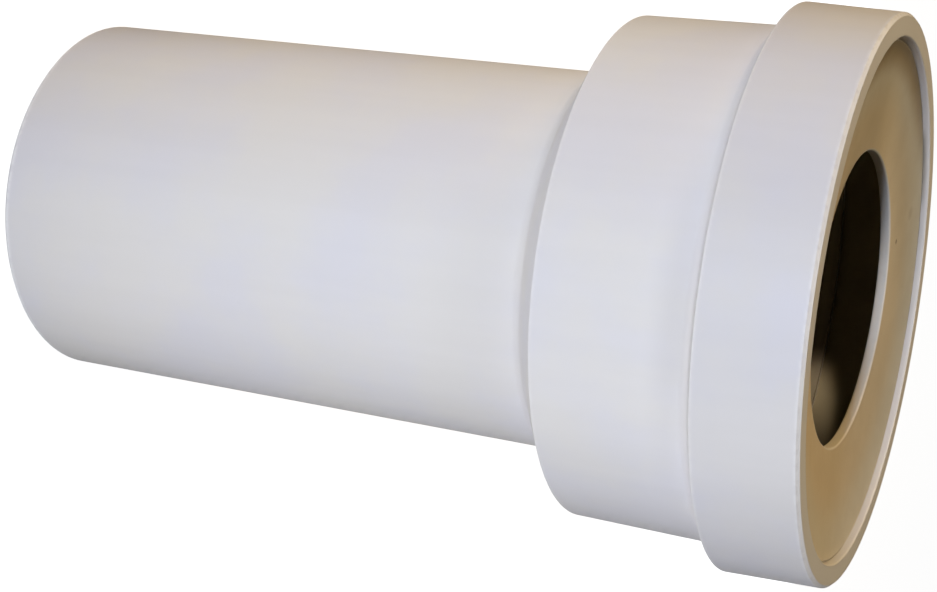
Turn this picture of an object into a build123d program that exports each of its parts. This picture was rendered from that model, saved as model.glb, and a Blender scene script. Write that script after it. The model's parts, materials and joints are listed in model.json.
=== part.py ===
from build123d import *
import os
from math import radians, sin, tan

# Toilet pan connector, in millimetres.
# +Z runs along the pipe, from the end of the outlet spigot (the origin) up to the inlet mouth.

# Outlet spigot: the plain pipe end that goes into the drain
spigot_diameter = 110.0
spigot_length = 168.2
spigot_chamfer = 1.0

# Wall of the moulding
wall = 3.0

# Shoulder: the cone that widens the spigot to the socket, its slope measured from the axis
shoulder_slope = 60.0
shoulder_fillet = 4.0

# Collar: houses the seal, and narrows slightly towards the mouth
collar_diameter = 158.4
collar_length = 27.2
collar_draft = 1.8

# Socket: room for the end of the pan's outlet, one step inside the collar and widening slightly towards it
step_height = 6.8
step_slope = 70.0
step_fillet = 3.5
socket_length = 42.3
socket_draft = 0.5

# Rim: the end of the collar turned in over the seal, with a slightly tapered opening
rim_width = 6.35
rim_thickness = 3.0
rim_taper = 0.5
rim_chamfer = 0.9

# Inlet seal: a ring held in the collar, and a dished face with a bevelled hole
seal_clearance = 0.3
seal_recess = 1.8
seal_ring_wall = 3.0
seal_dish = 3.7
inlet_diameter = 82.0
inlet_lead_in_width = 3.0
inlet_lead_in_depth = 2.4
inlet_land = 1.0

# Diameters that follow the collar
mouth_diameter = collar_diameter - 2 * collar_length * tan(radians(collar_draft))
rim_opening = mouth_diameter - 2 * rim_width
step_foot_diameter = collar_diameter - 2 * step_height
socket_diameter = step_foot_diameter - 2 * socket_length * tan(radians(socket_draft))

# Radii and heights that follow from these sizes
spigot_r = spigot_diameter / 2
bore_r = spigot_r - wall
socket_r = socket_diameter / 2
socket_bore_r = socket_r - wall
step_foot_r = step_foot_diameter / 2
collar_r = collar_diameter / 2

shoulder_run = tan(radians(shoulder_slope))
shoulder_top = spigot_length + (socket_r - spigot_r) / shoulder_run
inner_shoulder_shift = wall / sin(radians(shoulder_slope)) - wall / shoulder_run
inner_shoulder_foot = spigot_length + inner_shoulder_shift
inner_shoulder_top = shoulder_top + inner_shoulder_shift

step_run = tan(radians(step_slope))
step_foot = shoulder_top + socket_length
step_top = step_foot + step_height / step_run

mouth = step_top + collar_length
mouth_r = mouth_diameter / 2
rim_r = rim_opening / 2
rim_back = mouth - rim_thickness
rim_back_r = rim_r - rim_taper

groove_r = mouth_r - wall
ledge = step_foot + (groove_r - step_foot_r) / step_run + wall / sin(radians(step_slope))
ledge_r = socket_bore_r + (ledge - inner_shoulder_top) * tan(radians(socket_draft))

sharp = 0


def ring_section(corners):
    """Face of a ring's section. Each corner is (distance from the axis, height, rounding)."""
    with BuildSketch(Plane.XZ) as section:
        with BuildLine():
            FilletPolyline(
                [(r, z) for r, z, rounding in corners],
                radius=[rounding for r, z, rounding in corners],
                close=True,
            )
        make_face()
    return section.sketch


# Body: up the outside from the spigot's end, over the rim, and back down through the groove and the bores
body_corners = [
    (spigot_r - spigot_chamfer, 0, sharp),
    (spigot_r, spigot_chamfer, sharp),
    (spigot_r, spigot_length, shoulder_fillet),
    (socket_r, shoulder_top, sharp),
    (step_foot_r, step_foot, step_fillet),
    (collar_r, step_top, sharp),
    (mouth_r, mouth - rim_chamfer, sharp),
    (mouth_r - rim_chamfer, mouth, sharp),
    (rim_r, mouth, sharp),
    (rim_back_r, rim_back, sharp),
    (groove_r, rim_back, sharp),
    (groove_r, ledge, sharp),
    (ledge_r, ledge, sharp),
    (socket_bore_r, inner_shoulder_top, sharp),
    (bore_r, inner_shoulder_foot, sharp),
    (bore_r, 0, sharp),
]

with BuildPart() as body:
    revolve(ring_section(body_corners), axis=Axis.Z)

# Inlet seal: its ring fills the groove between the ledge and the rim, and its face
# stands up inside the rim's opening, then dips towards the hole
ring_r = groove_r - seal_clearance
ring_bore_r = ring_r - seal_ring_wall
face_r = rim_back_r - seal_clearance
face_edge = mouth - seal_recess
inlet_r = inlet_diameter / 2
lead_in_r = inlet_r + inlet_lead_in_width
lead_in_top = face_edge - seal_dish
land_top = lead_in_top - inlet_lead_in_depth
land_foot = land_top - inlet_land
face_slope = seal_dish / (face_r - lead_in_r)
face_root = land_foot + (ring_bore_r - inlet_r) * face_slope

seal_corners = [
    (ring_r, ledge, sharp),
    (ring_r, rim_back, sharp),
    (face_r, rim_back, sharp),
    (face_r, face_edge, sharp),
    (lead_in_r, lead_in_top, sharp),
    (inlet_r, land_top, sharp),
    (inlet_r, land_foot, sharp),
    (ring_bore_r, face_root, sharp),
    (ring_bore_r, ledge, sharp),
]

with BuildPart() as inlet_seal:
    revolve(ring_section(seal_corners), axis=Axis.Z)

# One file for each piece
body.part.label = "body"
inlet_seal.part.label = "inlet_seal"
os.makedirs("parts", exist_ok=True)
export_step(body.part, "parts/body.step")
export_step(inlet_seal.part, "parts/inlet_seal.step")

print("overall length", round(mouth, 2), "mouth radius", round(mouth_r, 2))
print("socket diameter", round(socket_diameter, 2), "rim opening", round(rim_opening, 2))
print("groove radius", round(groove_r, 2), "from", round(ledge, 2), "to", round(rim_back, 2))
print("seal face from radius", round(face_r, 2), "down to", round(lead_in_r, 2), "root", round(face_root, 2))
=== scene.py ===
# %% [markdown]
# A toilet pan connector
#
# A pan connector joins the outlet of a toilet pan to the soil pipe. It is one white moulding, a pipe that
# widens in two steps towards its mouth, with a soft cream seal held behind the rim of the mouth.
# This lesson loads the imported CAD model, turns finer meshes of its two pieces, gives each a finish made of
# nodes, and sets up the floor, the lights and the camera of the product photograph.

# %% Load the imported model
import json
from math import atan2, cos, hypot, radians, sin, tan

import bpy
from mathutils import Matrix, Vector


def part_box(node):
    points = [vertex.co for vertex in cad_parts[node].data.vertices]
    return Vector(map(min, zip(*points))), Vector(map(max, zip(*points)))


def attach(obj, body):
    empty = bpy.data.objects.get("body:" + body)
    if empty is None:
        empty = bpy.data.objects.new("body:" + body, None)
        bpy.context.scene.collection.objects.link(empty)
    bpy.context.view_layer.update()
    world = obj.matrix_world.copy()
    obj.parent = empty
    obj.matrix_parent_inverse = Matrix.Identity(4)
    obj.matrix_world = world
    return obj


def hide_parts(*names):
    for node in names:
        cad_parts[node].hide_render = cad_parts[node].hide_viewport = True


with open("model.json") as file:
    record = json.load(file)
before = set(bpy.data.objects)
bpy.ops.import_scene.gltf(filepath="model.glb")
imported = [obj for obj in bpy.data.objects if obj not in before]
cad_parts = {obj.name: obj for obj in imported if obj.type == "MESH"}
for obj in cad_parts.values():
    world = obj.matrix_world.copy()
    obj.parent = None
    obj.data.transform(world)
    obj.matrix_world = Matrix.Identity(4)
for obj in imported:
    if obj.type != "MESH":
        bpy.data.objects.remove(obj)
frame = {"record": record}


def rounded(values, digits=4):
    """Numbers short enough to print."""
    return [round(value, digits) for value in values]


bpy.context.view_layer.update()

# %% [markdown]
# The sizes
#
# A finer mesh has to keep the form of the solid that it stands for. So its sizes come from the frame where
# the frame has them: the record's mounts give the radii of the pipe and the hole, and the boxes of the nodes
# give the widest radius and the main heights. The other sizes of the mould are written once, in millimetres
# and degrees, and every corner follows from these.

# %% Sizes from the frame
MM = 0.001
mounts = {mount["name"]: mount["dims"] for mount in frame["record"]["mounts"]}
spigot_r = mounts["outlet_spigot"]["r_mm"] * MM
bore_r = mounts["waterway"]["r_mm"] * MM
hole_r = mounts["inlet"]["r_mm"] * MM
wall = spigot_r - bore_r

body_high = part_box("body")[1]
seal_low, seal_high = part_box("inlet_seal")
collar_r = body_high.x
mouth_z = body_high.z
ledge_z = seal_low.z
face_edge_z = seal_high.z
print("collar", round(collar_r / MM, 2), "mm in radius, mouth at", round(mouth_z / MM, 2), "mm")

# %% Sizes of the mould, and the corners that follow
shoulder_foot_z = 168.2 * MM
shoulder_slope = radians(60)
socket_length = 42.3 * MM
socket_draft = radians(0.5)
step_height = 6.8 * MM
step_slope = radians(70)
collar_draft = radians(1.8)
rim_width = 6.35 * MM
rim_thickness = 3.0 * MM
rim_taper = 0.5 * MM

step_foot_r = collar_r - step_height
socket_r = step_foot_r - socket_length * tan(socket_draft)
shoulder_top_z = shoulder_foot_z + (socket_r - spigot_r) / tan(shoulder_slope)
step_foot_z = shoulder_top_z + socket_length
step_top_z = step_foot_z + step_height / tan(step_slope)
mouth_r = collar_r - (mouth_z - step_top_z) * tan(collar_draft)
rim_r = mouth_r - rim_width
rim_back_r = rim_r - rim_taper
rim_back_z = mouth_z - rim_thickness
groove_r = mouth_r - wall

inner_shoulder_shift = wall / sin(shoulder_slope) - wall / tan(shoulder_slope)
inner_shoulder_top_z = shoulder_top_z + inner_shoulder_shift
ledge_r = socket_r - wall + (ledge_z - inner_shoulder_top_z) * tan(socket_draft)
print("socket", round(socket_r / MM, 2), "mm in radius, rim opening", round(rim_r / MM, 2), "mm")

# %% [markdown]
# Turning a ring
#
# Both pieces are round, so each is turned as on a lathe: a circle is added at the first corner of the
# section, then extruded and scaled from corner to corner, and the last ring is bridged to the first. A Spin
# of a drawn section would do as well, but a circle keeps every ring's points in line from the start. Corners
# are then rounded by beveling the ring of edges that lies on them.

# %% Turn a closed ring from the corners of its section
SIDES = 240


def deselect_everything():
    """Leaves nothing selected, so that an operator acts on the next piece alone."""
    bpy.ops.object.select_all(action="DESELECT")
    bpy.context.view_layer.objects.active = None


def turn_ring(name, corners):
    """Makes a closed ring whose section has these corners, each (radius, height, rounding)."""
    deselect_everything()
    (r, z), *later_corners = [corner[:2] for corner in corners]
    bpy.ops.mesh.primitive_circle_add(vertices=SIDES, radius=r, location=(0, 0, z))
    bpy.ops.object.transform_apply(location=True)
    piece = bpy.context.object
    piece.name = name
    bpy.ops.object.mode_set(mode="EDIT")
    bpy.ops.mesh.select_all(action="SELECT")
    for next_r, next_z in later_corners:
        bpy.ops.mesh.extrude_edges_move(TRANSFORM_OT_translate={"value": (0, 0, next_z - z)})
        bpy.ops.transform.resize(value=(next_r / r, next_r / r, 1), center_override=(0, 0, next_z))
        r, z = next_r, next_z
    bpy.ops.mesh.select_all(action="DESELECT")
    bpy.ops.mesh.select_non_manifold(use_wire=False, use_multi_face=False, use_non_contiguous=False)
    bpy.ops.mesh.bridge_edge_loops()
    bpy.ops.mesh.select_all(action="SELECT")
    bpy.ops.mesh.normals_make_consistent(inside=False)
    bpy.ops.object.mode_set(mode="OBJECT")
    return piece


# %% Select points of a piece by their place
def radius_of(point):
    """The distance of a point from the axis."""
    return hypot(point.x, point.y)


def select_points(piece, chosen):
    """Selects the points that a test chooses, with the edges between them."""
    picked = [chosen(vertex.co) for vertex in piece.data.vertices]
    for face in piece.data.polygons:
        face.select = False
    for vertex, pick in zip(piece.data.vertices, picked):
        vertex.select = pick
    for edge in piece.data.edges:
        edge.select = all(picked[i] for i in edge.vertices)


# %% Round the corners of a turned ring
ON_RING = 0.01 * MM
ARC_STEP = radians(8)


def turn_at(corners, i):
    """The angle through which the section turns at one of its corners."""
    (r0, z0), (r1, z1), (r2, z2) = (corners[k % len(corners)][:2] for k in (i - 1, i, i + 1))
    turn = atan2(z2 - z1, r2 - r1) - atan2(z1 - z0, r1 - r0)
    return abs((turn + radians(180)) % radians(360) - radians(180))


def round_corners(piece, corners):
    """Bevels each ring of edges that has a rounding, with enough segments to look smooth."""
    for i, (r, z, rounding) in enumerate(corners):
        if rounding == 0:
            continue
        select_points(piece, lambda point: abs(radius_of(point) - r) < ON_RING and abs(point.z - z) < ON_RING)
        turn = turn_at(corners, i)
        width = rounding * tan(turn / 2)
        segments = max(2, round(turn / ARC_STEP))
        bpy.ops.object.mode_set(mode="EDIT")
        bpy.ops.mesh.select_mode(type="EDGE")
        bpy.ops.mesh.bevel(offset=width, segments=segments, profile=0.5, affect="EDGES")
        bpy.ops.object.mode_set(mode="OBJECT")


# %% Shade a turned ring
SHARPEST = radians(30)


def smooth_finish(piece):
    """Smooth shading that stays flat on the flats: normals are weighted by the faces' areas."""
    deselect_everything()
    piece.select_set(True)
    bpy.context.view_layer.objects.active = piece
    bpy.ops.object.shade_smooth_by_angle(angle=SHARPEST)
    bpy.ops.object.modifier_add(type="WEIGHTED_NORMAL")
    piece.modifiers[-1].keep_sharp = True
    bpy.ops.object.modifier_apply(modifier=piece.modifiers[-1].name)
    print(piece.name, len(piece.data.polygons), "faces")


# %% [markdown]
# The body
#
# The moulding is one ring from end to end. Its outside has soft fillets where a wider stretch begins and
# crisp edges where one ends, because the halves of a mould are cut with a round tool and meet at an edge.
# The rim's outer edge is the one that hands and shelves meet, so it has a small chamfer. Cylinders and cones
# joined by booleans would give the same outline, but one ring has clean loops of edges for the bevels.

# %% Turn the body
CRISP = 0.35 * MM
spigot_chamfer = 1.0 * MM
spigot_edge_rounding = 0.8 * MM
shoulder_rounding = 4.0 * MM
step_rounding = 3.5 * MM
rim_chamfer = 0.9 * MM
body_corners = [
    (spigot_r - spigot_chamfer, 0, 0),
    (spigot_r, spigot_chamfer, spigot_edge_rounding),
    (spigot_r, shoulder_foot_z, shoulder_rounding),
    (socket_r, shoulder_top_z, CRISP),
    (step_foot_r, step_foot_z, step_rounding),
    (collar_r, step_top_z, CRISP),
    (mouth_r, mouth_z - rim_chamfer, CRISP),
    (mouth_r - rim_chamfer, mouth_z, CRISP),
    (rim_r, mouth_z, CRISP),
    (rim_back_r, rim_back_z, 0),
    (groove_r, rim_back_z, 0),
    (groove_r, ledge_z, 0),
    (ledge_r, ledge_z, 0),
    (socket_r - wall, inner_shoulder_top_z, 0),
    (bore_r, shoulder_foot_z + inner_shoulder_shift, 0),
    (bore_r, 0, CRISP),
]
body = turn_ring("moulded_body", body_corners)
round_corners(body, body_corners)
smooth_finish(body)

# %% [markdown]
# The seal
#
# The seal's ring fills the groove behind the rim. Its face stands up inside the rim's opening, dips towards
# the hole, and ends in a plain lip that the pan's outlet pushes through. A narrow gap parts the face from the
# rim, and shows as the dark line round the mouth. Ring, face and lip are one skin, so they are turned as one.

# %% Turn the seal
seal_clearance = 0.3 * MM
seal_ring_wall = 3.0 * MM
seal_dish = 4.1 * MM
lip_height = 3.0 * MM
ring_r = groove_r - seal_clearance
ring_bore_r = ring_r - seal_ring_wall
face_r = rim_back_r - seal_clearance
lip_top_z = face_edge_z - seal_dish
lip_foot_z = lip_top_z - lip_height
face_slope = seal_dish / (face_r - hole_r)
face_root_z = lip_foot_z + (ring_bore_r - hole_r) * face_slope

soft_rounding = 0.5 * MM
root_rounding = 2.5 * MM
seal_corners = [
    (ring_r, ledge_z, 0),
    (ring_r, rim_back_z, 0),
    (face_r, rim_back_z, 0),
    (face_r, face_edge_z, soft_rounding),
    (hole_r, lip_top_z, soft_rounding),
    (hole_r, lip_foot_z, soft_rounding),
    (ring_bore_r, face_root_z, root_rounding),
    (ring_bore_r, ledge_z, 0),
]
seal = turn_ring("inlet_seal_ring", seal_corners)
round_corners(seal, seal_corners)

# %% [markdown]
# The lip of the seal
#
# The lip is soft, and in the photograph it hangs a little lower on the near side than on the far side. It
# could be sculpted, but a small turn of its points about the X axis gives the same form, and the face beside
# it follows. With no window, the rotate operator turns the other way, so the angle is negative.

# %% Let the lip hang lower on one side
LIP_SAG = 1.15 * MM
lip_end_r = hole_r + 2 * soft_rounding


def on_lip(point):
    """Whether a point belongs to the lip."""
    return radius_of(point) < lip_end_r


select_points(seal, on_lip)
bpy.ops.object.mode_set(mode="EDIT")
bpy.ops.mesh.select_mode(type="VERT")
bpy.ops.transform.rotate(value=-LIP_SAG / hole_r, orient_axis="X", center_override=(0, 0, lip_top_z))
bpy.ops.object.mode_set(mode="OBJECT")
smooth_finish(seal)
lip_points = [vertex.co for vertex in seal.data.vertices if on_lip(vertex.co)]
near_top = max(point.z for point in lip_points if point.y < -hole_r)
far_top = max(point.z for point in lip_points if point.y > hole_r)
print("top of the lip, near and far", rounded((near_top / MM, far_top / MM), 2), "mm")

# %% [markdown]
# What a finish is made of
#
# Moulded plastic and moulded rubber look alike in some ways: both take a fine grain from the steel of the
# mould, both cool into faint patches, and both rub smooth where they are handled. Each of these effects is a
# node group, built once and placed in both materials with its own values. Everything is painted by Object
# coordinates, which are metres in the frame of the part, so that a grain of half a millimetre is that size
# on each piece.

# %% Helpers for node trees
def new_finish(name):
    """A new material, its node tree and its shader."""
    material = bpy.data.materials.new(name)
    material.use_nodes = True
    return material, material.node_tree, material.node_tree.nodes["Principled BSDF"]


def feed(tree, socket, value):
    """Sets a socket to a number or a colour, or links another node's output to it."""
    if isinstance(value, bpy.types.NodeSocket):
        tree.links.new(value, socket)
    else:
        socket.default_value = value


def maths(tree, operation, first, second=0.0):
    """A Math node on two values."""
    node = tree.nodes.new("ShaderNodeMath")
    node.operation = operation
    feed(tree, node.inputs[0], first)
    feed(tree, node.inputs[1], second)
    return node.outputs["Value"]


def times(tree, first, second):
    """A product. Of two masks, it is full only where both are."""
    return maths(tree, "MULTIPLY", first, second)


def either(tree, first, second):
    """The stronger of two masks."""
    return maths(tree, "MAXIMUM", first, second)


# %% Helpers for masks: a change, a fade and a band
def ramp(tree, value, low, high, to_low=0.0, to_high=1.0, shape="SMOOTHSTEP"):
    """A change from to_low to to_high while the value goes from low to high, eased unless it is LINEAR."""
    node = tree.nodes.new("ShaderNodeMapRange")
    node.interpolation_type = shape
    feed(tree, node.inputs["Value"], value)
    feed(tree, node.inputs["From Min"], low)
    feed(tree, node.inputs["From Max"], high)
    feed(tree, node.inputs["To Min"], to_low)
    feed(tree, node.inputs["To Max"], to_high)
    return node.outputs["Result"]


def fade(tree, value, low, high):
    """A mask that is full up to low and gone from high on."""
    return ramp(tree, value, low, high, 1.0, 0.0)


def stretch(start, low, high):
    """Two places that lie so many millimetres from a start."""
    return start + low * MM, start + high * MM


def band(tree, value, rise, fall, base=0.0, top=1.0):
    """A mask that goes from base to top over one stretch of the value, and fades over another."""
    return times(tree, ramp(tree, value, *rise, base, top), fade(tree, value, *fall))


# %% Helpers for colours and noise
def mixed(tree, amount, first, second, way="MIX"):
    """A mix of two colours."""
    node = tree.nodes.new("ShaderNodeMix")
    node.data_type = "RGBA"
    node.blend_type = way
    feed(tree, node.inputs[0], amount)
    feed(tree, node.inputs[6], first)
    feed(tree, node.inputs[7], second)
    return node.outputs[2]


def painted(tree, tint, layers):
    """A tint with layers of paint over it, each (mask, colour, way of mixing)."""
    for mask, colour, way in layers:
        tint = mixed(tree, mask, tint, colour, way)
    return tint


def noise(tree, coordinates, scale, detail=2.0, roughness=0.5):
    """A Noise Texture's value."""
    node = tree.nodes.new("ShaderNodeTexNoise")
    feed(tree, node.inputs["Vector"], coordinates)
    feed(tree, node.inputs["Scale"], scale)
    node.inputs["Detail"].default_value = detail
    node.inputs["Roughness"].default_value = roughness
    return node.outputs["Fac"]


# %% Helpers for places
PLAN = (1, 1, 0)


def vector_maths(tree, operation, first, second=(0, 0, 0)):
    """The outputs of a Vector Math node on a linked vector and a fixed one."""
    node = tree.nodes.new("ShaderNodeVectorMath")
    node.operation = operation
    feed(tree, node.inputs[0], first)
    node.inputs[1].default_value = second
    return node.outputs


def object_coordinates(tree):
    """Places in the frame of the part, in metres."""
    return tree.nodes.new("ShaderNodeTexCoord").outputs["Object"]


def stretched(tree, coordinates, factors):
    """Coordinates multiplied by one factor for each axis."""
    return vector_maths(tree, "MULTIPLY", coordinates, factors)["Vector"]


def length_of(tree, vector):
    """The length of a vector."""
    return vector_maths(tree, "LENGTH", vector)["Value"]


def towards(tree, coordinates, direction):
    """How far each point lies in one direction from the origin."""
    return vector_maths(tree, "DOT_PRODUCT", coordinates, direction)["Value"]


def radius_and_height(tree, coordinates):
    """The distance from the axis and the height of each point."""
    parts = tree.nodes.new("ShaderNodeSeparateXYZ")
    feed(tree, parts.inputs["Vector"], coordinates)
    return length_of(tree, stretched(tree, coordinates, PLAN)), parts.outputs["Z"]


# %% Start and place a node group
VECTOR = "NodeSocketVector"
NUMBER = "NodeSocketFloat"


def new_group(name, inputs, outputs):
    """A shader node group with these inputs, each (name, kind, value), and these number outputs."""
    tree = bpy.data.node_groups.new(name, "ShaderNodeTree")
    for socket_name, kind, value in inputs:
        socket = tree.interface.new_socket(name=socket_name, in_out="INPUT", socket_type=kind)
        if value is not None:
            socket.default_value = value
    for socket_name in outputs:
        tree.interface.new_socket(name=socket_name, in_out="OUTPUT", socket_type=NUMBER)
    return tree, tree.nodes.new("NodeGroupInput"), tree.nodes.new("NodeGroupOutput")


def place_group(tree, group, coordinates, **values):
    """Places a group in a material, with its own values."""
    node = tree.nodes.new("ShaderNodeGroup")
    node.node_tree = group
    feed(tree, node.inputs["Coordinates"], coordinates)
    for name, value in values.items():
        node.inputs[name.replace("_", " ").title()].default_value = value
    return node


# %% [markdown]
# Moulded skin
#
# The skin group gives three patterns. Grain is the fine satin texture of the mould's steel. Patches are the
# soft changes of tint that cooling leaves, a few centimetres wide on the plastic. Flow is drawn out along
# the pipe, the way the melt ran.

# %% Node group: moulded skin
FLOW_STRETCH = (1, 1, 0.06)
PATCH_CONTRAST = (0.35, 0.65)
FLOW_CONTRAST = (0.3, 0.7)
skin, given, wanted = new_group(
    "moulded_skin",
    [
        ("Coordinates", VECTOR, None),
        ("Grain Scale", NUMBER, 2000),
        ("Patch Scale", NUMBER, 25),
        ("Flow Scale", NUMBER, 200),
    ],
    ["Grain", "Patches", "Flow"],
)
place = given.outputs["Coordinates"]
along = stretched(skin, place, FLOW_STRETCH)
grain = noise(skin, place, given.outputs["Grain Scale"], detail=2, roughness=0.6)
patches = noise(skin, place, given.outputs["Patch Scale"], detail=4, roughness=0.55)
flow = noise(skin, along, given.outputs["Flow Scale"], detail=3, roughness=0.5)
feed(skin, wanted.inputs["Grain"], grain)
feed(skin, wanted.inputs["Patches"], ramp(skin, patches, *PATCH_CONTRAST))
feed(skin, wanted.inputs["Flow"], ramp(skin, flow, *FLOW_CONTRAST))
print(skin.name, "with", len(skin.nodes), "nodes")

# %% [markdown]
# Worn edges, painted highlights and the gap
#
# Every edge of this part is a circle, so the distance to it is worked out from its radius and its height. The
# mask is full on the edge, fades over a short reach, and is broken by noise, because rubbing is never even.
# The same mask paints the paler edges, which are partly worn and partly a painted highlight, and the painted
# shade in the gap round the seal.

# %% Node group: nearness to a round edge
BREAKS_CONTRAST = (0.35, 0.6)
WEAKEST_SHARE = 0.35
edge_group, given, wanted = new_group(
    "edge_nearness",
    [
        ("Coordinates", VECTOR, None),
        ("Edge Radius", NUMBER, 0.05),
        ("Edge Height", NUMBER, 0.0),
        ("Reach", NUMBER, 0.001),
        ("Breaks Scale", NUMBER, 400),
    ],
    ["Rubbed"],
)
place = given.outputs["Coordinates"]
radius, height = radius_and_height(edge_group, place)
offset = edge_group.nodes.new("ShaderNodeCombineXYZ")
feed(edge_group, offset.inputs["X"], maths(edge_group, "SUBTRACT", radius, given.outputs["Edge Radius"]))
feed(edge_group, offset.inputs["Y"], maths(edge_group, "SUBTRACT", height, given.outputs["Edge Height"]))
nearness = fade(edge_group, length_of(edge_group, offset.outputs["Vector"]), 0.0, given.outputs["Reach"])
breaks = noise(edge_group, place, given.outputs["Breaks Scale"], detail=3)
unevenness = ramp(edge_group, breaks, *BREAKS_CONTRAST, WEAKEST_SHARE, 1.0)
feed(edge_group, wanted.inputs["Rubbed"], times(edge_group, nearness, unevenness))
print(edge_group.name, "with", len(edge_group.nodes), "nodes")


def worn_and_highlit_edges(tree, coordinates, edges):
    """The strongest mask of several edges that are worn and carry a painted highlight, each (radius, height,
    reach, strength).
    """
    mask = 0.0
    for edge_r, edge_z, reach, strength in edges:
        node = place_group(tree, edge_group, coordinates, edge_radius=edge_r, edge_height=edge_z, reach=reach)
        mask = either(tree, mask, times(tree, node.outputs["Rubbed"], strength))
    return mask


# %% [markdown]
# White plastic
#
# The body is a white plastic with a satin skin, a shade cooler or creamier from patch to patch. It is greyer
# on the collar, and paler on the rim and on the edges, which are worn by handling and also carry a painted
# highlight. Painted shade darkens it towards the spigot's end, at the feet of the shoulder and the step, in
# part of the gap round the seal, and on the inside, and painted warm light lies on one side of the collar. A
# painted image could hold all this, but masks that are worked out from the part's own radii and heights need
# no UV map, and stay sharp close up.

# %% White plastic: where it differs from place to place
AXIS = 0.0
PICTURE_UP = (-1, 0, 0)
white_plastic, tree, shader = new_finish("white_plastic")
place = object_coordinates(tree)
plastic_skin = place_group(tree, skin, place, grain_scale=1800, patch_scale=22, flow_scale=160)
radius, height = radius_and_height(tree, place)
across = towards(tree, place, PICTURE_UP)

# Painted shade: the body is greyer towards the spigot's end, where less light falls.
towards_end = fade(tree, height, *stretch(0, -40, 130))
on_collar = band(tree, height, stretch(step_top_z, -0.3, 0.7), stretch(mouth_z, -1, 0))
on_rim = ramp(tree, height, *stretch(mouth_z, -0.5, 0))
# Painted warm light: the collar is warmer on its upper side, where the warm lights shine.
painted_warm_light = times(tree, on_collar, ramp(tree, across, *stretch(AXIS, 55, 77)))
# Worn edges, painted paler: partly wear, partly a painted highlight where the edges catch the light.
worn_and_highlit = worn_and_highlit_edges(tree, place, [
    (spigot_r, spigot_chamfer, 1.6 * MM, 1.0),
    (socket_r, shoulder_top_z, 1.2 * MM, 0.4),
    (collar_r, step_top_z, 1.2 * MM, 0.4),
    (mouth_r - rim_chamfer / 2, mouth_z - rim_chamfer / 2, 1.6 * MM, 1.0),
    (rim_r, mouth_z, 0.8 * MM, 1.0),
])

# %% White plastic: painted shade at the feet, in the gap and on the inside
# Painted shade at the feet of the shoulder and the step, strongest on the near side.
near_side = band(tree, across, stretch(AXIS, -55, -15), stretch(AXIS, -10, 40), base=0.3)
shoulder_foot_shade = band(
    tree, height, stretch(shoulder_foot_z, -35, -3), stretch(shoulder_foot_z, -2, 1), top=0.6
)
step_foot_shade = band(tree, height, stretch(step_foot_z, -13, -2), stretch(step_foot_z, -2, 0))
painted_foot_shade = times(tree, either(tree, shoulder_foot_shade, step_foot_shade), near_side)

# Painted shade in the gap between the rim and the seal, on the part of the ring that lies in shadow.
gap = place_group(
    tree, edge_group, place, edge_radius=rim_back_r, edge_height=face_edge_z, reach=1.4 * MM, breaks_scale=40
)
shaded_side = band(tree, across, stretch(AXIS, -40, 60), stretch(AXIS, 45, 68))
painted_gap_shade = times(tree, gap.outputs["Rubbed"], shaded_side)

# Painted shade: the inside of the pipe is darker, as little light gets in.
pipe_mid_r = spigot_r - wall / 2
socket_mid_r = socket_r - wall / 2
mid_wall_r = ramp(tree, height, shoulder_foot_z, shoulder_top_z, pipe_mid_r, socket_mid_r, "LINEAR")
inside = maths(tree, "LESS_THAN", radius, mid_wall_r)

# %% White plastic: its tint
COOL_WHITE = (0.785, 0.783, 0.835, 1)
CREAM_WHITE = (0.815, 0.803, 0.795, 1)
FLOW_SHADE = (0.985, 0.985, 0.985, 1)
COLLAR_SHADE = (0.920, 0.922, 0.945, 1)
END_PAINTED_SHADE = (0.90, 0.89, 0.88, 1)
FOOT_PAINTED_SHADE = (0.84, 0.84, 0.85, 1)
WARM_LIGHT_PAINT = (0.98, 0.93, 0.82, 1)
RIM_WHITE = (0.920, 0.920, 0.935, 1)
WORN_AND_HIGHLIT_WHITE = (0.880, 0.875, 0.880, 1)
GAP_PAINTED_SHADE = (0.36, 0.33, 0.29, 1)
INSIDE_PAINTED_SHADE = (0.62, 0.60, 0.56, 1)
tint = mixed(tree, plastic_skin.outputs["Patches"], COOL_WHITE, CREAM_WHITE)
tint = painted(tree, tint, [
    (plastic_skin.outputs["Flow"], FLOW_SHADE, "MULTIPLY"),
    (on_collar, COLLAR_SHADE, "MULTIPLY"),
    (towards_end, END_PAINTED_SHADE, "MULTIPLY"),
    (painted_foot_shade, FOOT_PAINTED_SHADE, "MULTIPLY"),
    (painted_warm_light, WARM_LIGHT_PAINT, "MULTIPLY"),
    (on_rim, RIM_WHITE, "MIX"),
    (worn_and_highlit, WORN_AND_HIGHLIT_WHITE, "MIX"),
    (painted_gap_shade, GAP_PAINTED_SHADE, "MIX"),
    (inside, INSIDE_PAINTED_SHADE, "MULTIPLY"),
])
feed(tree, shader.inputs["Base Color"], tint)

# %% [markdown]
# The gloss and the relief of the plastic
#
# The dull gloss comes from a middling roughness, which the grain breaks up and handling wears down. The
# relief is the grain and a trace of the flow, a few hundredths of a millimetre deep. Relief this fine would
# take millions of faces, so it is a bump.

# %% White plastic: its gloss and its relief
RELIEF_DEPTH = 0.03 * MM
SATIN = (0.40, 0.47)
GRAIN_DULLS = 0.08
RUBBING_POLISHES = 0.10
FLOW_SHARE = 0.6


def give_relief(tree, shader, relief, strength):
    """Feeds a height into a shader as a bump."""
    bump = tree.nodes.new("ShaderNodeBump")
    bump.inputs["Strength"].default_value = strength
    bump.inputs["Distance"].default_value = RELIEF_DEPTH
    feed(tree, bump.inputs["Height"], relief)
    feed(tree, shader.inputs["Normal"], bump.outputs["Normal"])


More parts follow.
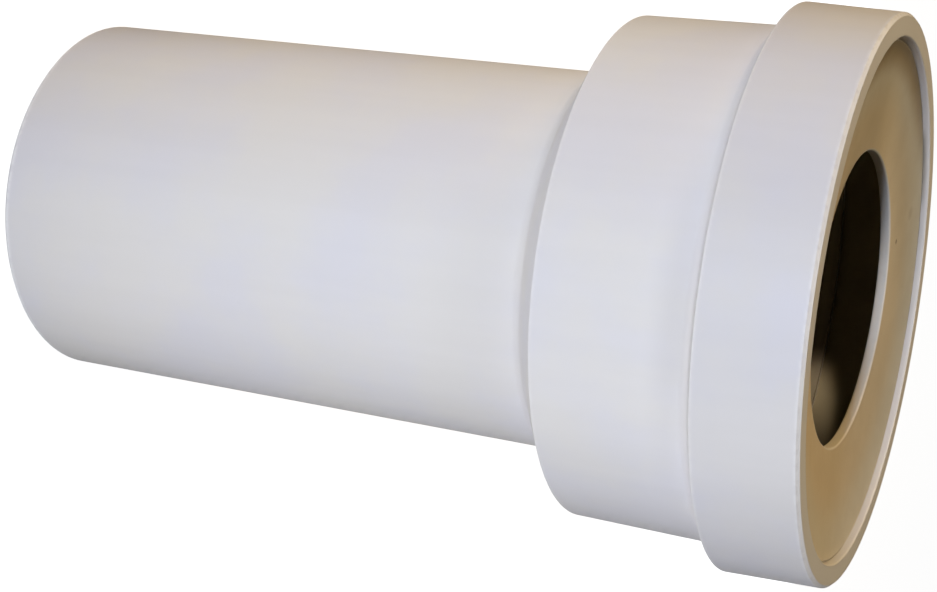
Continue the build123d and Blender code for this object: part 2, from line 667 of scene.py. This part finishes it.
satin = ramp(tree, plastic_skin.outputs["Patches"], 0, 1, *SATIN)
satin = maths(tree, "ADD", satin, times(tree, plastic_skin.outputs["Grain"], GRAIN_DULLS))
satin = maths(tree, "SUBTRACT", satin, times(tree, worn_and_highlit, RUBBING_POLISHES))
feed(tree, shader.inputs["Roughness"], satin)
shader.inputs["Specular IOR Level"].default_value = 0.3

flow_relief = times(tree, plastic_skin.outputs["Flow"], FLOW_SHARE)
relief = maths(tree, "ADD", plastic_skin.outputs["Grain"], flow_relief)
give_relief(tree, shader, relief, strength=0.35)
body.data.materials.append(white_plastic)
print(white_plastic.name, "with", len(tree.nodes), "nodes")

# %% [markdown]
# Seal rubber
#
# The seal is a matt rubber, tan round the hole. Painted light makes it creamier towards the rim, and painted
# shade makes it a little greyer on one side. Its lip is painted paler, as a painted highlight. Rubber picks
# up
# dirt that the plastic sheds: a dark speck beside the hole and a smudge further out. A painted shadow of the
# rim lies on one part of the face. The plastic's material in another colour would look too clean and too
# glossy, so the seal has its own, made with the same groups.

# %% Seal rubber: where it differs from place to place
SHADED_DIRECTION = (-0.66, 0.75, 0)
LIP_PATCHES = (0.85, 1.0)
seal_rubber, tree, shader = new_finish("seal_rubber")
place = object_coordinates(tree)
rubber_skin = place_group(tree, skin, place, grain_scale=2600, patch_scale=70, flow_scale=300)
radius, height = radius_and_height(tree, place)
across = towards(tree, place, PICTURE_UP)

# Painted light: the face is creamier towards the rim, where light bounces off the rim's white wall.
near_rim = ramp(tree, radius, *stretch(AXIS, 50, 67))
# Painted shade: the face is greyer towards one side and lighter towards the other, as the light falls.
painted_side_shade = ramp(tree, towards(tree, place, SHADED_DIRECTION), *stretch(AXIS, -50, 50), shape="LINEAR")
# Painted shadow: the rim's shadow on the face under its upper part.
under_rim = ramp(tree, radius, *stretch(face_r, -11, -3))
painted_rim_shadow = times(tree, under_rim, ramp(tree, across, *stretch(AXIS, 38, 64)))
# Painted highlight: the lip is paler where the light catches it.
uneven = ramp(tree, rubber_skin.outputs["Patches"], 0, 1, *LIP_PATCHES)
painted_lip_highlight = times(tree, fade(tree, radius, *stretch(hole_r, 0.1, 0.8)), uneven)
# The face's outer edge: worn, and painted paler with the lip's painted light.
worn_and_highlit = worn_and_highlit_edges(tree, place, [(face_r, face_edge_z, 1.0 * MM, 0.4)])
# Painted shade: the bore of the seal's ring is darker, like the pipe's inside.
below_face = maths(tree, "LESS_THAN", height, face_root_z)
painted_ring_shade = times(tree, below_face, ramp(tree, radius, *stretch(ring_bore_r, -2, 0)))

# %% Seal rubber: a speck and a smudge
RAGGED_SCALE = 1500


def spot(tree, coordinates, x, y, size, softness, strength):
    """A mask of one spot at this place of the face, seen from above, with a ragged edge."""
    plan = stretched(tree, coordinates, PLAN)
    distance = vector_maths(tree, "DISTANCE", plan, (x, y, 0))["Value"]
    ragged = times(tree, noise(tree, coordinates, RAGGED_SCALE), size)
    return ramp(tree, maths(tree, "ADD", distance, ragged), size, size * softness, strength, 0.0)


speck = spot(tree, place, x=-18.9 * MM, y=43.5 * MM, size=0.7 * MM, softness=2.0, strength=0.75)
smudge = spot(tree, place, x=-28.2 * MM, y=53.2 * MM, size=1.4 * MM, softness=2.6, strength=0.18)

# %% Seal rubber: its tint
SEAL_TAN = (0.874, 0.739, 0.547, 1)
SEAL_LIT_BY_RIM = (0.870, 0.810, 0.690, 1)
PATCH_SHADE = (0.95, 0.945, 0.94, 1)
SIDE_PAINTED_SHADE = (0.80, 0.85, 0.91, 1)
RIM_PAINTED_SHADOW = (0.62, 0.52, 0.40, 1)
LIP_WARM_LIGHT = (0.930, 0.880, 0.820, 1)
LIP_COOL_LIGHT = (0.800, 0.820, 0.860, 1)
SOIL = (0.20, 0.14, 0.09, 1)
tint = mixed(tree, near_rim, SEAL_TAN, SEAL_LIT_BY_RIM)
# Painted light on the lip, warmer on one side and cooler on the other.
painted_lip_light = mixed(tree, ramp(tree, across, *stretch(AXIS, -35, -5)), LIP_WARM_LIGHT, LIP_COOL_LIGHT)
tint = painted(tree, tint, [
    (rubber_skin.outputs["Patches"], PATCH_SHADE, "MULTIPLY"),
    (painted_side_shade, SIDE_PAINTED_SHADE, "MULTIPLY"),
    (painted_rim_shadow, RIM_PAINTED_SHADOW, "MULTIPLY"),
    (either(tree, painted_lip_highlight, worn_and_highlit), painted_lip_light, "MIX"),
    (either(tree, speck, smudge), SOIL, "MIX"),
    (painted_ring_shade, INSIDE_PAINTED_SHADE, "MULTIPLY"),
])
feed(tree, shader.inputs["Base Color"], tint)

# %% [markdown]
# The gloss and the relief of the rubber
#
# The seal's mould was turned on a lathe, which leaves faint rings round the hole. They are a sine of the
# distance from the axis, and are added to the grain of the rubber.

# %% Seal rubber: its gloss and its relief
RING_SPACING = 1.1 * MM
RING_SHARE = 0.25
MATT = (0.55, 0.65)
RUBBER_POLISHES = 0.20
matt = ramp(tree, rubber_skin.outputs["Patches"], 0, 1, *MATT)
matt = maths(tree, "SUBTRACT", matt, times(tree, worn_and_highlit, RUBBER_POLISHES))
feed(tree, shader.inputs["Roughness"], matt)

rings = maths(tree, "SINE", times(tree, radius, radians(360) / RING_SPACING))
relief = maths(tree, "ADD", rubber_skin.outputs["Grain"], times(tree, rings, RING_SHARE))
give_relief(tree, shader, relief, strength=0.4)
seal.data.materials.append(seal_rubber)
print(seal_rubber.name, "with", len(tree.nodes), "nodes")

# %% [markdown]
# Standing in for the CAD pieces
#
# Each turned piece rides on the part's one body and takes the place of its CAD node, which stays behind for
# the physics. The slot says which of the record's materials it wears.

# %% Tie the pieces to the frame
for piece, node, slot in ((body, "body", "white_plastic"), (seal, "inlet_seal", "seal_rubber")):
    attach(piece, "root")
    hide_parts(node)
    print(piece.name, "stands for", node, "in", slot)

# %% [markdown]
# The floor
#
# The photograph is cut out on white. A floor bright enough to look white would throw far too much light up
# into the fillets, so its glow is chosen by who looks: pale for the camera, and dim for light that goes on to
# the object. The dim glow is weaker close to the part, dies away further off, and differs a little from side
# to side. Inside the pipe the floor is dark, as the open end of the real pipe is.

# %% Lay the floor
FLOOR_WIDTH = 24
FLOOR_GREYS = (0.291, 0.30)
FLOOR_DARK = 0.01
FLOOR_CONTRAST = (0.3, 0.7)
FLOOR_MATT = (0.65, 0.75)
deselect_everything()
bpy.ops.mesh.primitive_plane_add(size=FLOOR_WIDTH)
floor = bpy.context.object
floor.name = "floor"
floor_finish, tree, shader = new_finish("pale_floor")
place = object_coordinates(tree)
from_axis = length_of(tree, place)
outside_pipe = maths(tree, "GREATER_THAN", from_axis, pipe_mid_r)
brushed = ramp(tree, noise(tree, place, scale=60, detail=4), *FLOOR_CONTRAST, *FLOOR_GREYS)
feed(tree, shader.inputs["Base Color"], either(tree, times(tree, brushed, outside_pipe), FLOOR_DARK))
scuffed = ramp(tree, noise(tree, place, scale=200), *FLOOR_CONTRAST, *FLOOR_MATT)
feed(tree, shader.inputs["Roughness"], scuffed)

# %% Make the floor glow
FLOOR_PALE = 0.97
GLOW_SIDES = (0.22, 0.20)
SIDES_APART = 0.2
GLOW_CLOSE_BY = 0.45
GLOW_FULL_FROM = 0.16
GLOW_DIES_OVER = (0.3, 0.8)
looker = tree.nodes.new("ShaderNodeLightPath")
dim = ramp(tree, towards(tree, place, PICTURE_UP), -SIDES_APART, SIDES_APART, *GLOW_SIDES)
dim = times(tree, dim, fade(tree, from_axis, *GLOW_DIES_OVER))
dim = times(tree, dim, ramp(tree, from_axis, spigot_r, GLOW_FULL_FROM, GLOW_CLOSE_BY, 1.0))
glow = ramp(tree, looker.outputs["Is Camera Ray"], 0, 1, dim, FLOOR_PALE)
feed(tree, shader.inputs["Emission Color"], outside_pipe)
feed(tree, shader.inputs["Emission Strength"], glow)
floor.data.materials.append(floor_finish)
print("floor", floor.dimensions.x, "m wide")

# %% [markdown]
# The lights
#
# All the lights but one are soft panels. A cool key in front, just above the level of the mouth, models the
# near side, and a narrow panel over it skims across the rim to the far side of the recess. Fills on both
# sides and behind keep the other sides from going dark. Warm panels on the side that is up in the picture and
# overhead give the rim and the seal their tan. The last light is a narrow spot, which shines through the hole
# and makes the warm patch on the wall inside. One panorama could light all this, but panels can be moved one
# at a time until each side matches. The world itself is black, so that nothing else lights the part.

# %% Helpers for lights
def around(angle, height, distance=1.2):
    """A place round the part. Degrees run from the camera's side to the side that is up in the picture."""
    return (-distance * sin(radians(angle)), -distance * cos(radians(angle)), height)


def hang_light(name, kind, centre, target, colour, power, **settings):
    """A light at centre that faces target. The camera doesn't see it."""
    light = bpy.data.lights.new(name, kind)
    light.color = colour
    light.energy = power
    for setting, value in settings.items():
        setattr(light, setting, value)
    lamp = bpy.data.objects.new(name, light)
    lamp.location = centre
    lamp.rotation_euler = (Vector(target) - Vector(centre)).to_track_quat("-Z", "Y").to_euler()
    lamp.visible_camera = False
    bpy.context.scene.collection.objects.link(lamp)


# %% Set up the lights
COOL = (0.86, 0.90, 0.98)
NEUTRAL = (0.98, 0.98, 1.0)
WARM = (1.0, 0.82, 0.56)
AMBER = (1.0, 0.69, 0.31)
BEAM = (1.0, 0.77, 0.47)
middle = (0, 0, 0.13)
mouth = (0, 0, mouth_z)

# Each panel: name, place, target, width and height in metres, colour, and power in watts
panels = [
    ("front_key", around(0, 0.293), mouth, 1.2, 0.06, COOL, 3.3),
    ("mouth_light", around(0, 0.327), mouth, 0.4, 0.03, COOL, 5.3),
    ("low_fill", around(-60, 0.13), middle, 0.5, 0.24, NEUTRAL, 3.7),
    ("high_fill", around(65, 0.12), middle, 0.5, 0.2, COOL, 1.7),
    ("back_fill", around(180, 0.13), middle, 0.5, 0.24, COOL, 3.5),
    ("warm_window", around(90, 0.81), mouth, 0.6, 0.4, AMBER, 6.0),
    ("warm_back", around(130, 0.81), mouth, 0.6, 0.4, AMBER, 1.4),
    ("overhead", (0, 0, 1.5), mouth, 0.2, 0.2, WARM, 3.3),
]
for name, centre, target, wide, tall, colour, power in panels:
    hang_light(name, "AREA", centre, target, colour, power, shape="RECTANGLE", size=wide, size_y=tall)

beam_place = (-0.104, -0.035, 0.278)
hole_far_part = (-15 * MM, 32 * MM, lip_foot_z)
hang_light(
    "beam", "SPOT", beam_place, hole_far_part, BEAM, power=0.62,
    spot_size=radians(9.5), spot_blend=1.0, shadow_soft_size=12 * MM,
)
print(len(bpy.data.lights), "lights")

# %% Darken the room, and keep the colours plain
world = bpy.data.worlds.new("studio")
bpy.context.scene.world = world
world.use_nodes = True
world.node_tree.nodes["Background"].inputs["Color"].default_value = (0, 0, 0, 1)
bpy.context.scene.view_settings.view_transform = "Standard"
print(world.name, "world is black, view transform", bpy.context.scene.view_settings.view_transform)

# %% [markdown]
# The camera
#
# The photograph looks down on the standing part from a little above its mouth, and is turned so that the
# pipe lies across the picture. A camera could be moved by eye until the outlines agree, but here the place,
# the aim, the turn and the lens were fitted to the part's outlines.

# %% Place the camera
camera_place = Vector((0, -0.4810, 0.3361))
camera_aim = Vector((0.01485, 0, 0.13083))
camera_turn = radians(98.72)
camera_data = bpy.data.cameras.new("camera")
camera_data.sensor_width = 36
camera_data.lens = 67.25
camera = bpy.data.objects.new("camera", camera_data)
look = (camera_aim - camera_place).to_track_quat("-Z", "Y").to_matrix()
turned_look = (look @ Matrix.Rotation(camera_turn, 3, "Z")).to_4x4()
camera.matrix_world = Matrix.Translation(camera_place) @ turned_look
bpy.context.scene.collection.objects.link(camera)
bpy.context.scene.camera = camera
print("camera", round((camera_aim - camera_place).length, 3), "m from its aim")
